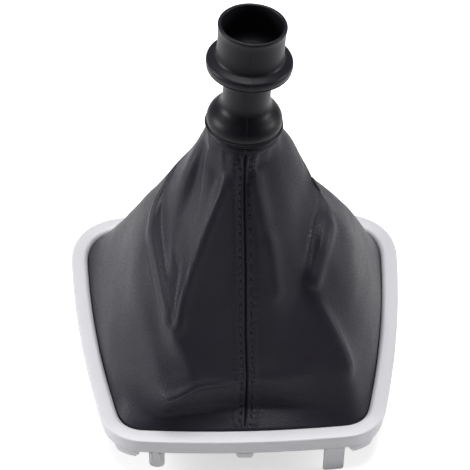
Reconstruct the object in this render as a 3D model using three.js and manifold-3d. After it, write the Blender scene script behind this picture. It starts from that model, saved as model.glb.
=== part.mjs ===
// Gear lever gaiter: two leather panels hang from a moulded collar into a painted trim frame.
// Millimetres, +Z up, the driver looks along +Y. The bezel's crest lies at z = bezelHeight.
import * as THREE from 'three';
import { mergeVertices } from 'three/addons/utils/BufferGeometryUtils.js';
import Module from 'manifold-3d';

const wasm = await Module();
wasm.setup();

// Opening of the frame, along the inner edge of its bezel
const openingRearHalfWidth = 76;
const openingFrontHalfWidth = 58;
const openingHalfDepth = 64.2;
const sideBulge = 4.2;
const frontBulge = 2.9;
const rearBulge = 6;
const rearCornerCut = 20;
const frontCornerCut = 10;

// Bezel and skirt of the frame
const bezelWidth = 8.2;
const bezelThickness = 3.2;
const bezelLipDepth = 4;
const bezelLipWall = 1.6;
const bezelInnerRadius = 2.4;
const bezelOuterRadius = 1.4;
const bezelEdgeDepth = 2.3;
const skirtStep = 0.5;
const skirtWall = 1.6;
const skirtDepth = 9.2;

// Legs and tabs under the skirt, the longer legs on the right
const leftLegWidth = 7.4;
const leftLegLength = 11;
const leftLegPlace = 41.5;
const rightLegWidth = 9.9;
const rightLegLength = 16.3;
const rightLegPlace = 42.5;
const legRadius = 1.6;
const legRibWidth = 0.9;
const legRibHeight = 0.5;
const tabWidth = 8.4;
const tabLength = 3.5;
const tabChamfer = 1.2;
const cornerTabPlace = 53.5;
const fusedDepth = 3;

// Hooks inside the skirt, which hold the hem ring up
const hookDepth = 0.9;
const hookWidth = 7;
const hookHeight = 1.1;
const hookPlaces = [0.07, 0.16, 0.24, 0.34, 0.44, 0.56, 0.66, 0.76, 0.84, 0.93];

// Leather, its hem and the ring that traps the hem under the bezel
const leatherThickness = 1.1;
const seamAllowance = 6;
const seamGap = 0.3;
const fit = 0.3;
const hemWidth = 3.4;
const hemTurn = 0.5;
const hemRingWidth = 7.3;
const hemRingHeight = 2.3;

// Collar: where its lip sits over the bezel, its lean and its own sizes
const neckHeight = 127.5;
const neckRight = 0.6;
const neckBack = 8.6;
const collarLeanRight = THREE.MathUtils.degToRad(3);
const collarLeanBack = THREE.MathUtils.degToRad(3);
const plugRadius = 12.15;
const plugBore = 10.2;
const plugDepth = 10.5;
const lipRadius = 17.5;
const bulgeHeight = 12;
const waistRadius = 10.9;
const waistBore = 9.4;
const waistBottom = 19.6;
const waistTop = 29;
const flangeRadius = 19.5;
const flangeBottom = 33.2;
const flangeTop = 38.3;
const tubeRadius = 15.1;
const tubeBore = 13.7;
const tubeBottom = 41;
const collarHeight = 56.8;

// Tie band inside the folded neck of the leather
const bandThickness = 1.2;
const bandHeight = 3;
const neckFoldDrop = 3.4;
const bandSlack = 0.1;

const bezelHeight = skirtDepth + Math.max(leftLegLength, rightLegLength);
const halfLeather = leatherThickness / 2;

const leather = { color: 0x2b2a2f, roughness: 0.55, metalness: 0 };
const blackPlastic = { color: 0x232227, roughness: 0.35, metalness: 0 };
const hiddenPlastic = { color: 0x1d1d1f, roughness: 0.6, metalness: 0 };
const silverPaint = { color: 0xc4c4c7, roughness: 0.4, metalness: 0.35 };

const v3 = (x, y, z) => new THREE.Vector3(x, y, z);
const v2 = (x, y) => new THREE.Vector2(x, y);

// Four bulged sides joined by round corners, from the middle of the front round by the left
function openingCurves() {
  const frontLeft = v2(-openingFrontHalfWidth, -openingHalfDepth);
  const frontRight = v2(openingFrontHalfWidth, -openingHalfDepth);
  const rearLeft = v2(-openingRearHalfWidth, openingHalfDepth);
  const rearRight = v2(openingRearHalfWidth, openingHalfDepth);
  const corners = [frontRight, frontLeft, rearLeft, rearRight];
  const bulges = [frontBulge, sideBulge, rearBulge, sideBulge];
  const cuts = [frontCornerCut, frontCornerCut, rearCornerCut, rearCornerCut];
  const sides = corners.map((start, i) => {
    const end = corners[(i + 1) % 4];
    const along = end.clone().sub(start);
    const outward = v2(-along.y, along.x).normalize();
    const middle = start.clone().add(end).multiplyScalar(0.5);
    return new THREE.QuadraticBezierCurve(start, middle.addScaledVector(outward, 2 * bulges[i]), end);
  });
  const lengths = corners.map((start, i) => start.distanceTo(corners[(i + 1) % 4]));
  const begins = sides.map((side, i) => cuts[i] / lengths[i]);
  const ends = sides.map((side, i) => 1 - cuts[(i + 1) % 4] / lengths[i]);
  const pieces = [];
  sides.forEach((side, i) => {
    const next = (i + 1) % 4;
    pieces.push({ curve: side, from: begins[i], to: ends[i], steps: i % 2 ? 10 : 8 });
    const leave = side.getPoint(ends[i]);
    const arrive = sides[next].getPoint(begins[next]);
    const leaving = side.getTangent(ends[i]);
    const arriving = sides[next].getTangent(begins[next]);
    const gap = arrive.clone().sub(leave);
    const reach = gap.cross(arriving) / leaving.cross(arriving);
    const corner = leave.clone().addScaledVector(leaving, reach);
    const round = new THREE.QuadraticBezierCurve(leave, corner, arrive);
    pieces.push({ curve: round, from: 0, to: 1, steps: 6 });
  });
  return pieces;
}

// Closed run of points with their outward normals, measured from the middle of the front
function openingOutline(finer) {
  const points = [];
  for (const { curve, from, to, steps } of openingCurves()) {
    const count = steps * finer;
    for (let i = 0; i < count; i += 1) {
      const t = from + ((to - from) * i) / count;
      const place = curve.getPoint(t);
      const tangent = curve.getTangent(t);
      points.push({ place, normal: v2(-tangent.y, tangent.x) });
    }
  }
  const half = (openingCurves()[0].steps * finer) / 2;
  return points.slice(half).concat(points.slice(0, half));
}
const coarseOutline = openingOutline(1);
const fineOutline = openingOutline(8);
const fineLengths = [0];
fineOutline.forEach(({ place }, i) => {
  const next = fineOutline[(i + 1) % fineOutline.length].place;
  fineLengths.push(fineLengths[i] + place.distanceTo(next));
});
const outlineLength = fineLengths[fineOutline.length];

// Point at a share of the outline's length, moved outward by offset
function onOutline(share, offset) {
  const wanted = (share - Math.floor(share)) * outlineLength;
  let i = 0;
  while (fineLengths[i + 1] < wanted) i += 1;
  const a = fineOutline[i];
  const b = fineOutline[(i + 1) % fineOutline.length];
  const t = (wanted - fineLengths[i]) / (fineLengths[i + 1] - fineLengths[i]);
  const normal = a.normal.clone().lerp(b.normal, t).normalize();
  return { place: a.place.clone().lerp(b.place, t).addScaledVector(normal, offset), normal };
}

// Solid skin over rings of points. Open runs are capped between facing points of the end rings.
function skin(rings, closed) {
  const count = rings[0].length;
  const positions = rings.flatMap((ring) => ring.flatMap((p) => [p.x, p.y, p.z]));
  const index = [];
  const last = closed ? rings.length : rings.length - 1;
  for (let i = 0; i < last; i += 1) {
    const a = i * count;
    const b = ((i + 1) % rings.length) * count;
    for (let j = 0; j < count; j += 1) {
      const k = (j + 1) % count;
      index.push(a + j, b + j, b + k, a + j, b + k, a + k);
    }
  }
  if (!closed) {
    const end = last * count;
    for (let j = 0; j < count / 2 - 1; j += 1) {
      const k = count - 1 - j;
      index.push(j, j + 1, k, j + 1, k - 1, k);
      index.push(end + j, end + k, end + j + 1, end + j + 1, end + k, end + k - 1);
    }
  }
  const geometry = new THREE.BufferGeometry();
  geometry.setAttribute('position', new THREE.Float32BufferAttribute(positions, 3));
  geometry.setIndex(index);
  return geometry;
}

// Section of [outward, height over the crest] points carried round the opening
function sweepRoundOpening(section) {
  return skin(coarseOutline.map(({ place, normal }) => section.map(([out, up]) => {
    const p = place.clone().addScaledVector(normal, out);
    return v3(p.x, p.y, bezelHeight + up);
  })), true);
}

function toSolid(geometry) {
  const bare = geometry.clone();
  bare.deleteAttribute('normal');
  bare.deleteAttribute('uv');
  const merged = mergeVertices(bare);
  return new wasm.Manifold(new wasm.Mesh({
    numProp: 3,
    vertProperties: new Float32Array(merged.attributes.position.array),
    triVerts: new Uint32Array(merged.index.array),
  }));
}

function toGeometry(solid) {
  const mesh = solid.getMesh();
  const geometry = new THREE.BufferGeometry();
  geometry.setAttribute('position', new THREE.Float32BufferAttribute(mesh.vertProperties, 3));
  geometry.setIndex(Array.from(mesh.triVerts));
  return geometry;
}

function arc(centerX, centerY, radius, fromDegrees, toDegrees, steps) {
  return Array.from({ length: steps + 1 }, (unused, i) => {
    const angle = THREE.MathUtils.degToRad(fromDegrees + ((toDegrees - fromDegrees) * i) / steps);
    return [centerX + radius * Math.cos(angle), centerY + radius * Math.sin(angle)];
  });
}

function toShape(points) {
  return new THREE.Shape(points.map(([x, y]) => v2(x, y)));
}

const skirtOuter = bezelWidth - skirtStep;
const skirtInner = skirtOuter - skirtWall;

function frameBody() {
  const innerRadius = bezelInnerRadius;
  const outerRadius = bezelOuterRadius;
  return sweepRoundOpening([
    [0, -bezelLipDepth],
    ...arc(innerRadius, -innerRadius, innerRadius, 180, 90, 3),
    ...arc(bezelWidth - outerRadius, -outerRadius, outerRadius, 90, 0, 3),
    [bezelWidth, -bezelEdgeDepth],
    [skirtOuter, -bezelEdgeDepth],
    [skirtOuter, -skirtDepth],
    [skirtInner, -skirtDepth],
    [skirtInner, -bezelThickness],
    [bezelLipWall, -bezelThickness],
    [bezelLipWall, -bezelLipDepth],
  ]);
}

// Band of the skirt's wall carried on below it, for the legs and tabs to be cut from
function skirtBand(proud) {
  const bottom = -bezelHeight;
  const top = fusedDepth - skirtDepth;
  const outer = skirtOuter + proud;
  return toSolid(sweepRoundOpening([[skirtInner, bottom], [skirtInner, top], [outer, top], [outer, bottom]]));
}

// The part of a band behind an outline drawn as [along, up from the skirt's bottom]
function cutFromBand(band, points, share) {
  const { place, normal } = onOutline(share, skirtInner);
  const reach = bezelWidth;
  const geometry = new THREE.ExtrudeGeometry(toShape(points), { depth: 2 * reach, bevelEnabled: false });
  geometry.translate(0, 0, -reach);
  geometry.rotateX(Math.PI / 2);
  geometry.rotateZ(Math.atan2(normal.y, normal.x) + Math.PI / 2);
  geometry.translate(place.x, place.y, bezelHeight - skirtDepth);
  return band.intersect(toSolid(geometry));
}

function legOutline(width, length, radius) {
  const half = width / 2;
  return [
    [-half, fusedDepth],
    ...arc(-half + radius, -length + radius, radius, 180, 270, 4),
    ...arc(half - radius, -length + radius, radius, 270, 360, 4),
    [half, fusedDepth],
  ];
}

function tabOutline() {
  const half = tabWidth / 2;
  const foot = half - tabChamfer;
  return [[-half, fusedDepth], [-half, -tabChamfer], [-foot, -tabLength], [foot, -tabLength],
    [half, -tabChamfer], [half, fusedDepth]];
}

function ribOutline(length, along) {
  const half = legRibWidth / 2;
  const foot = -length + 2 * legRadius;
  return [[along - half, fusedDepth], [along - half, foot], [along + half, foot], [along + half, fusedDepth]];
}

// Share of the outline at a distance left or right of the front's middle, or of the rear's
const frontShare = (along) => -along / outlineLength;
const rearShare = (along) => 0.5 + along / outlineLength;

function trimFrame() {
  const wall = skirtBand(0);
  const ribbed = skirtBand(legRibHeight);
  const leftRadius = leftLegWidth * 0.45;
  const leftRibLength = leftLegLength - leftRadius + legRadius;
  const added = [];
  for (const shareAt of [frontShare, rearShare]) {
    const left = shareAt(-leftLegPlace);
    const right = shareAt(rightLegPlace);
    added.push(cutFromBand(wall, legOutline(leftLegWidth, leftLegLength, leftRadius), left));
    added.push(cutFromBand(wall, legOutline(rightLegWidth, rightLegLength, legRadius), right));
    for (const along of [-leftLegWidth / 3, leftLegWidth / 6]) {
      added.push(cutFromBand(ribbed, ribOutline(leftRibLength, along), left));
    }
    added.push(cutFromBand(ribbed, ribOutline(rightLegLength, (legRibWidth - rightLegWidth) / 2), right));
    for (const place of [-cornerTabPlace, 0, cornerTabPlace]) {
      added.push(cutFromBand(wall, tabOutline(), shareAt(place)));
    }
  }
  for (const share of hookPlaces) {
    const { place, normal } = onOutline(share, skirtInner - hookDepth / 2);
    const hook = new THREE.BoxGeometry(hookWidth, hookDepth + skirtWall / 2, hookHeight);
    hook.translate(0, -skirtWall / 4, 0);
    hook.rotateZ(Math.atan2(normal.y, normal.x) + Math.PI / 2);
    hook.translate(place.x, place.y, bezelHeight - hemRingBottom - fit - hookHeight / 2);
    added.push(toSolid(hook));
  }
  return toGeometry(wasm.Manifold.union([toSolid(frameBody()), ...added]));
}

// Depths under the crest of the leather's hem and of the ring below it
const hemDepth = bezelLipDepth + fit + halfLeather;
const hemRingTop = hemDepth + halfLeather + fit;
const hemRingBottom = hemRingTop + hemRingHeight;

function hemRing() {
  const outer = skirtInner - fit;
  const inner = outer - hemRingWidth;
  return sweepRoundOpening([
    [inner, -hemRingBottom], [inner, -hemRingTop], [outer, -hemRingTop], [outer, -hemRingBottom],
  ]);
}

// Collar's own frame: its lip stands on z = 0 and its axis is Z
const collarPose = new THREE.Matrix4().compose(
  v3(neckRight, neckBack, bezelHeight + neckHeight),
  new THREE.Quaternion().setFromEuler(new THREE.Euler(-collarLeanBack, collarLeanRight, 0)),
  v3(1, 1, 1),
);

function ringRound(profile, segments) {
  const loop = [...profile, profile[0]].map(([r, z]) => v2(r, z));
  const geometry = new THREE.LatheGeometry(loop, segments);
  geometry.rotateX(Math.PI / 2);
  return geometry;
}

function neckCollar() {
  const rim = (tubeRadius - tubeBore) / 2;
  const flangeRound = (flangeTop - flangeBottom) / 2;
  const waistFlare = 2;
  return ringRound([
    [plugBore, -plugDepth],
    [plugRadius, -plugDepth],
    [plugRadius, 0],
    ...arc(lipRadius - 0.9, 0.9, 0.9, -90, 40, 4),
    [lipRadius - 0.5, 1.7],
    [lipRadius - 0.1, 3.2],
    [lipRadius - 0.2, bulgeHeight / 2],
    [lipRadius - 0.8, bulgeHeight * 0.68],
    [lipRadius - 2, bulgeHeight * 0.87],
    [(lipRadius + waistRadius) / 2, bulgeHeight + 0.4],
    [waistRadius + 1.3, waistBottom - 5],
    [waistRadius + 0.4, waistBottom - 2.4],
    [waistRadius, waistBottom],
    [waistRadius, waistTop],
    [waistRadius + waistFlare, (waistTop + flangeBottom) / 2 + 0.6],
    [flangeRadius - 1.2, flangeBottom],
    ...arc(flangeRadius - flangeRound, (flangeBottom + flangeTop) / 2, flangeRound, -60, 75, 5),
    [tubeRadius + 0.5, tubeBottom - 1],
    [tubeRadius, tubeBottom],
    ...arc(tubeBore + rim, collarHeight - rim, rim, 0, 180, 4),
    [tubeBore, tubeBottom + 0.5],
    [waistBore, waistTop + 8],
    [waistBore, plugDepth + 2],
    [plugBore, plugDepth - 2],
  ], 44);
}

// Circle of the folded neck round the tie band, where the leather starts to hang
const bandInner = plugRadius + fit + leatherThickness + fit;
const foldInnerRadius = plugRadius + fit + halfLeather;
const foldOuterRadius = bandInner + bandThickness + fit + bandSlack + halfLeather;
const foldRadius = (foldOuterRadius - foldInnerRadius) / 2;
const foldTop = neckFoldDrop - foldRadius;

function tieBand() {
  const top = -foldTop - halfLeather - fit;
  const outer = bandInner + bandThickness;
  return ringRound([
    [bandInner, top - bandHeight], [outer, top - bandHeight], [outer, top], [bandInner, top],
  ], 36);
}

// Folds of the leather. Each line runs from the neck down to the frame: bearing is where it
// leaves the neck, in degrees from the front round by the left, foot is its share of the
// opening's outline, and each point is [right, back, up, softness round, softness down] in
// hundredths of the opening's rear half-width, its half-depth and the neck's height. A small
// softness makes a sharp fold.
const foldLines = [
  { bearing: 0, foot: 0.0, points: [
    [0.5, -17, 88, 45, 45], [1, -29, 76, 45, 45], [3, -41.5, 61.5, 45, 45],
    [3.5, -53.5, 47, 45, 45], [3, -65.5, 33.5, 45, 40], [2.5, -75, 23.5, 45, 35],
    [2, -83, 15.5, 45, 20], [1.5, -85.5, 3, 45, 25]] },
  { bearing: 30, foot: 0.042, points: [
    [-12, -23, 86.5, 30, 45], [-22, -35.5, 77, 16, 45], [-31.5, -49, 62, 12, 45],
    [-37, -59.5, 48.5, 10, 40], [-40.5, -70, 36, 12, 30], [-34.5, -81, 26.5, 10, 35],
    [-29.5, -92.5, 18.5, 14, 15], [-29, -92, 4, 40, 35]] },
  { bearing: 62, foot: 0.075, points: [
    [-24, -1, 89.5, 14, 45], [-25, -11, 81, 12, 40], [-35.5, -30, 52, 25, 45],
    [-41, -50, 42.5, 22, 40], [-43.5, -71.5, 36.5, 20, 14], [-40, -80, 22.5, 40, 40],
    [-40, -97, 15.5, 40, 14], [-41, -93.5, 4.5, 40, 35]] },
  { bearing: 82, foot: 0.105, points: [
    [-23.5, 8, 89.5, 30, 45], [-26.5, 1.5, 80.5, 30, 45], [-41, -15, 55.5, 40, 40],
    [-45.5, -40.5, 45, 45, 35], [-47, -61.5, 39.5, 45, 10], [-50, -67.5, 23.5, 50, 40],
    [-52.5, -99.5, 12.5, 50, 16], [-57.5, -95, 3, 50, 35]] },
  { bearing: 98, foot: 0.165, points: [
    [-27.5, 13, 88.5, 50, 45], [-34.5, 4.5, 81, 50, 45], [-42, 3, 68, 50, 40],
    [-49, 8, 57.5, 50, 30], [-55, 0, 53.5, 40, 10], [-63, -28.5, 41.5, 50, 45],
    [-72, -42, 20.5, 50, 45], [-82.5, -65, 6.5, 50, 45]] },
  { bearing: 112, foot: 0.25, points: [
    [-25, 24, 89.5, 40, 45], [-31.5, 20.5, 81.5, 40, 45], [-39.5, 18.5, 73, 40, 40],
    [-46.5, 17, 65.5, 40, 35], [-52, 14, 59, 30, 10], [-68, 5.5, 42.5, 50, 45],
    [-81, 10, 21, 50, 45], [-91.5, 4, 6.5, 50, 45]] },
  { bearing: 130, foot: 0.345, points: [
    [-20.5, 32.5, 90, 40, 45], [-24.5, 32.5, 85.5, 40, 45], [-28.5, 33.5, 81, 40, 45],
    [-34, 34.5, 76, 35, 30], [-43.5, 26.5, 70.5, 20, 15], [-59, 46.5, 48.5, 20, 45],
    [-75, 65.5, 26.5, 25, 45], [-91, 87, 6.5, 45, 45]] },
  { bearing: 154, foot: 0.43, points: [
    [-12, 39, 88.5, 50, 45], [-16, 45, 80, 50, 45], [-19.5, 51.5, 71.5, 50, 45],
    [-23.5, 57.5, 62.5, 50, 45], [-27.5, 65.5, 53.5, 50, 45], [-35.5, 78, 37.5, 50, 45],
    [-44.5, 92, 21, 50, 45], [-51.5, 101, 8, 50, 45]] },
  { bearing: 180, foot: 0.5, points: [
    [1, 46.5, 88, 40, 45], [0.5, 56, 77, 40, 45], [0.5, 64, 67.5, 40, 45],
    [0, 71.5, 58, 40, 45], [0, 79.5, 48.5, 40, 45], [0, 89.5, 36, 40, 45],
    [0, 99, 21, 40, 45], [0, 105, 8, 40, 45]] },
  { bearing: 206, foot: 0.57, points: [
    [14.5, 40.5, 88.5, 50, 45], [18.5, 46.5, 80, 50, 45], [22.5, 53, 71.5, 50, 45],
    [26.5, 59, 62.5, 50, 45], [31, 66, 53.5, 50, 45], [39.5, 78, 37, 50, 45],
    [50, 90.5, 21, 50, 45], [56.5, 101, 8, 50, 45]] },
  { bearing: 234, foot: 0.655, points: [
    [25.5, 26.5, 91, 40, 45], [30.5, 27.5, 86.5, 40, 45], [34, 26.5, 81.5, 40, 40],
    [38, 24, 77, 35, 30], [42, 17.5, 72, 15, 12], [65, 35.5, 50, 15, 45],
    [80, 52.5, 30, 20, 45], [94.5, 78, 8.5, 45, 45]] },
  { bearing: 250, foot: 0.73, points: [
    [28, 18.5, 90, 50, 45], [33.5, 16.5, 83, 45, 45], [40, 13.5, 73.5, 40, 40],
    [48, 11, 65.5, 40, 30], [55, 6, 60, 25, 12], [71.5, -0.5, 44.5, 50, 45],
    [84, 9, 25, 50, 45], [93.5, 17, 8, 50, 45]] },
  { bearing: 263, foot: 0.79, points: [
    [27, 10.5, 90, 50, 45], [33, 6, 81.5, 50, 45], [39.5, 3, 70, 50, 40],
    [44.5, -4.5, 60.5, 50, 30], [49.5, -20, 57.5, 25, 12], [67, -29, 42.5, 50, 45],
    [80, -28, 22, 50, 45], [88, -29, 8, 50, 45]] },
  { bearing: 280, foot: 0.84, points: [
    [24, 1.5, 89.5, 50, 45], [30.5, -4.5, 79, 50, 45], [36.5, -10.5, 65, 40, 40],
    [39.5, -24, 55.5, 35, 30], [42, -43.5, 48.5, 22, 12], [59.5, -50, 31.5, 50, 45],
    [73, -54, 16.5, 50, 45], [79.5, -64, 7, 50, 45]] },
  { bearing: 302, foot: 0.885, points: [
    [18, -6.5, 89.5, 50, 45], [24, -17.5, 77.5, 50, 45], [30.5, -29, 62.5, 50, 40],
    [34.5, -39, 52, 40, 30], [38, -43, 45, 25, 15], [52, -57, 33.5, 16, 35],
    [63.5, -74.5, 22.5, 16, 35], [67, -91.5, 7, 30, 40]] },
  { bearing: 330, foot: 0.955, points: [
    [5.5, -13.5, 90, 40, 45], [9, -28, 79, 30, 45], [14.5, -43.5, 63.5, 25, 45],
    [17.5, -55, 49.5, 35, 45], [20, -66, 35.5, 35, 40], [21, -76.5, 25, 35, 35],
    [23.5, -84, 15.5, 45, 25], [26, -87, 3, 50, 25]] },
];
const endSoftness = 0.5;
const rowCount = foldLines[0].points.length;
const rowsPerFold = 2;
const columnsPerFold = 3;
const neckFoldSteps = 4;
const hemPoints = 3;
const tangentStep = 0.02;
const wrapLine = (i) => ((i % foldLines.length) + foldLines.length) % foldLines.length;

// Smooth run through values that go on by period after each full turn
function aroundLines(values, period, u) {
  const at = (i) => values[((i % values.length) + values.length) % values.length]
    + Math.floor(i / values.length) * period;
  const i = Math.floor(u);
  const t = u - i;
  const [a, b, c, d] = [at(i - 1), at(i), at(i + 1), at(i + 2)];
  return 0.5 * (2 * b + (c - a) * t + (2 * a - 5 * b + 4 * c - d) * t * t
    + (3 * b - a - 3 * c + d) * t * t * t);
}

// Polygon through before, corner and after, its corner rounded over a share of both sides
function roundedCorner(before, corner, after, softness, t) {
  const toward = t < 0 ? before : after;
  if (Math.abs(t) >= softness) return corner.clone().lerp(toward, Math.abs(t));
  const leave = corner.clone().lerp(before, softness);
  const arrive = corner.clone().lerp(after, softness);
  const s = (t + softness) / (2 * softness);
  return leave.multiplyScalar((1 - s) ** 2).addScaledVector(corner, 2 * s * (1 - s))
    .addScaledVector(arrive, s * s);
}

function foldPoint(line, row) {
  const [right, back, up] = foldLines[line].points[row];
  return v3((right / 100) * openingRearHalfWidth, (back / 100) * openingHalfDepth,
    bezelHeight + (up / 100) * neckHeight);
}

function neckPoint(bearing, radius, up) {
  const angle = THREE.MathUtils.degToRad(bearing);
  return v3(-radius * Math.sin(angle), -radius * Math.cos(angle), up).applyMatrix4(collarPose);
}

function footPoint(u, out, down) {
  const share = aroundLines(foldLines.map((line) => line.foot), 1, u);
  const { place } = onOutline(share, out);
  return v3(place.x, place.y, bezelHeight - down);
}

const bearingAt = (u) => aroundLines(foldLines.map((line) => line.bearing), 360, u);
const edgeInset = fit + halfLeather;

// Rows of the leather at u lines round from the front seam: neck, folds and foot
function leatherRows(u) {
  const line = Math.floor(u + 0.5);
  const rows = [neckPoint(bearingAt(u), foldOuterRadius, -neckFoldDrop)];
  for (let row = 0; row < rowCount; row += 1) {
    const softness = foldLines[wrapLine(line)].points[row][3] / 100;
    const [before, corner, after] = [line - 1, line, line + 1].map((i) => foldPoint(wrapLine(i), row));
    rows.push(roundedCorner(before, corner, after, softness, u - line));
  }
  rows.push(footPoint(u, -edgeInset, bezelInnerRadius / 2));
  return rows;
}

// Softness of a row's bend at u lines round, between those of the lines beside it
function softnessDown(u, row) {
  if (row < 1 || row > rowCount) return endSoftness;
  const line = Math.floor(u);
  const [before, after] = [line, line + 1].map((i) => foldLines[wrapLine(i)].points[row - 1][4] / 100);
  return THREE.MathUtils.lerp(before, after, u - line);
}

// Middle of the leather at u lines round and v rows down
function leatherPoint(u, v) {
  const rows = leatherRows(u);
  const row = Math.floor(v + 0.5);
  if (row < 1) return rows[0].lerp(rows[1], v);
  if (row > rows.length - 2) return rows[rows.length - 1].lerp(rows[rows.length - 2], rows.length - 1 - v);
  return roundedCorner(rows[row - 1], rows[row], rows[row + 1], softnessDown(u, row), v - row);
}

// Middle of the leather down one column: the fold over the tie band, the hanging part, the hem
function leatherColumn(u) {
  const bearing = bearingAt(u);
  const foldCenter = foldInnerRadius + foldRadius;
  const fold = arc(foldCenter, -neckFoldDrop, foldRadius, 180, 0, neckFoldSteps).slice(0, -1);
  const lastRow = rowCount + 1;
  const steps = lastRow * rowsPerFold;
  const hanging = Array.from({ length: steps + 1 }, (unused, i) => leatherPoint(u, (lastRow * i) / steps));
  return [
    neckPoint(bearing, foldInnerRadius, -plugDepth),
    ...fold.map(([out, up]) => neckPoint(bearing, out, up)),
    ...hanging,
    footPoint(u, -edgeInset, bezelLipDepth),
    footPoint(u, hemTurn - edgeInset, hemDepth),
    footPoint(u, hemWidth, hemDepth),
  ];
}

// Ring of points round one column of a panel, outer side first and inner side back up.
// Near a seam the inner side is thicker by the folded allowance.
function panelRing(u, seams, shift) {
  const column = leatherColumn(u);
  const before = leatherColumn(u - tangentStep);
  const after = leatherColumn(u + tangentStep);
  const seamColumns = seams.map(leatherColumn);
  const firstFolded = neckFoldSteps + 2;
  const lastFolded = column.length - hemPoints - 2;
  const outer = [];
  const inner = [];
  column.forEach((point, i) => {
    const across = after[i].clone().sub(before[i]).normalize();
    const down = column[Math.min(i + 1, column.length - 1)].clone().sub(column[Math.max(i - 1, 0)]);
    const normal = across.clone().cross(down).normalize();
    const away = Math.min(...seamColumns.map((seam) => seam[i].distanceTo(point)));
    const folded = i >= firstFolded && i <= lastFolded ? Math.max(0, 1 - away / seamAllowance) : 0;
    const center = point.clone().addScaledVector(across, shift);
    outer.push(center.clone().addScaledVector(normal, halfLeather));
    inner.push(center.clone().addScaledVector(normal, -halfLeather - folded * leatherThickness));
  });
  return [...outer, ...inner.reverse()];
}

function leatherPanel(fromLine, toLine) {
  const count = (toLine - fromLine) * columnsPerFold;
  const rings = [];
  for (let i = 0; i <= count; i += 1) {
    const u = fromLine + ((toLine - fromLine) * i) / count;
    const shift = i === 0 ? seamGap / 2 : i === count ? -seamGap / 2 : 0;
    rings.push(panelRing(u, [fromLine, toLine], shift));
  }
  return skin(rings, false);
}

function addPiece(name, geometry, finish, pose) {
  geometry.computeVertexNormals();
  const mesh = new THREE.Mesh(geometry, new THREE.MeshStandardMaterial(finish));
  mesh.name = name;
  if (pose) mesh.applyMatrix4(pose);
  gaiter.add(mesh);
}

// The origin lies under the middle of the whole part
const gaiter = new THREE.Group();
gaiter.position.y = (frontBulge - rearBulge) / 2;
const rearSeam = foldLines.length / 2;
addPiece('trim_frame', trimFrame(), silverPaint);
addPiece('hem_ring', hemRing(), hiddenPlastic);
addPiece('gaiter_left_panel', leatherPanel(0, rearSeam), leather);
addPiece('gaiter_right_panel', leatherPanel(rearSeam, foldLines.length), leather);
addPiece('neck_collar', neckCollar(), blackPlastic, collarPose);
addPiece('neck_tie_band', tieBand(), hiddenPlastic, collarPose);

export default gaiter;
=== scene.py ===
# Gear lever gaiter: grained leather on a silver frame, with a moulded collar at its neck
import bpy
import math
import numpy as np
from mathutils import Euler, Matrix, Vector, noise


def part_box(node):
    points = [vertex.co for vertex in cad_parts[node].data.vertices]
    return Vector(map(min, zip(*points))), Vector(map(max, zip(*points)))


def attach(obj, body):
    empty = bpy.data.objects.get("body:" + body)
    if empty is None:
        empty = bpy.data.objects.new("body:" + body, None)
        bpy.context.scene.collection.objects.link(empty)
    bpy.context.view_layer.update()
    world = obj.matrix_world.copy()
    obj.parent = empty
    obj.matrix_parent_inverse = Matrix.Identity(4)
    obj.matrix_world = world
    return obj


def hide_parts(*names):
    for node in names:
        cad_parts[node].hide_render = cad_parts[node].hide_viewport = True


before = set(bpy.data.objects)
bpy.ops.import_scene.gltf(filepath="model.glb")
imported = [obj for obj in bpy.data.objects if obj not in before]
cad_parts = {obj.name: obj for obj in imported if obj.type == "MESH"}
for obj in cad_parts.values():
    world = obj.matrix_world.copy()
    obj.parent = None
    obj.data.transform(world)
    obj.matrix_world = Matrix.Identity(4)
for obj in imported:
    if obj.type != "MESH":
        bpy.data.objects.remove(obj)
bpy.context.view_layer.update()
print("frame loaded")

# All sizes are in millimetres and all objects in metres
mm = 0.001

# Opening of the frame along the bezel's inner edge
opening = {
    "rearHalfWidth": 76.0,
    "frontHalfWidth": 58.0,
    "halfDepth": 64.2,
    "sideBulge": 4.2,
    "frontBulge": 2.9,
    "rearBulge": 6.0,
    "rearCut": 20.0,
    "frontCut": 10.0,
    "stepsPerCurve": 48,
}
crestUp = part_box("trim_frame")[1][2] / mm
middleBack = (opening["frontBulge"] - opening["rearBulge"]) / 2


def quadratic(start, control, end, t):
    return (1 - t) ** 2 * start + 2 * t * (1 - t) * control + t * t * end


def quadraticTangent(start, control, end, t):
    return 2 * (1 - t) * (control - start) + 2 * t * (end - control)


def cross2(a, b):
    return a[0] * b[1] - a[1] * b[0]


def lengthAlong(points):
    return np.concatenate([[0], np.cumsum(np.linalg.norm(np.diff(points, axis=0), axis=1))])


def pointsAt(wanted, reach, points):
    return np.stack([np.interp(wanted, reach, column) for column in points.T], axis=-1)


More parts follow.
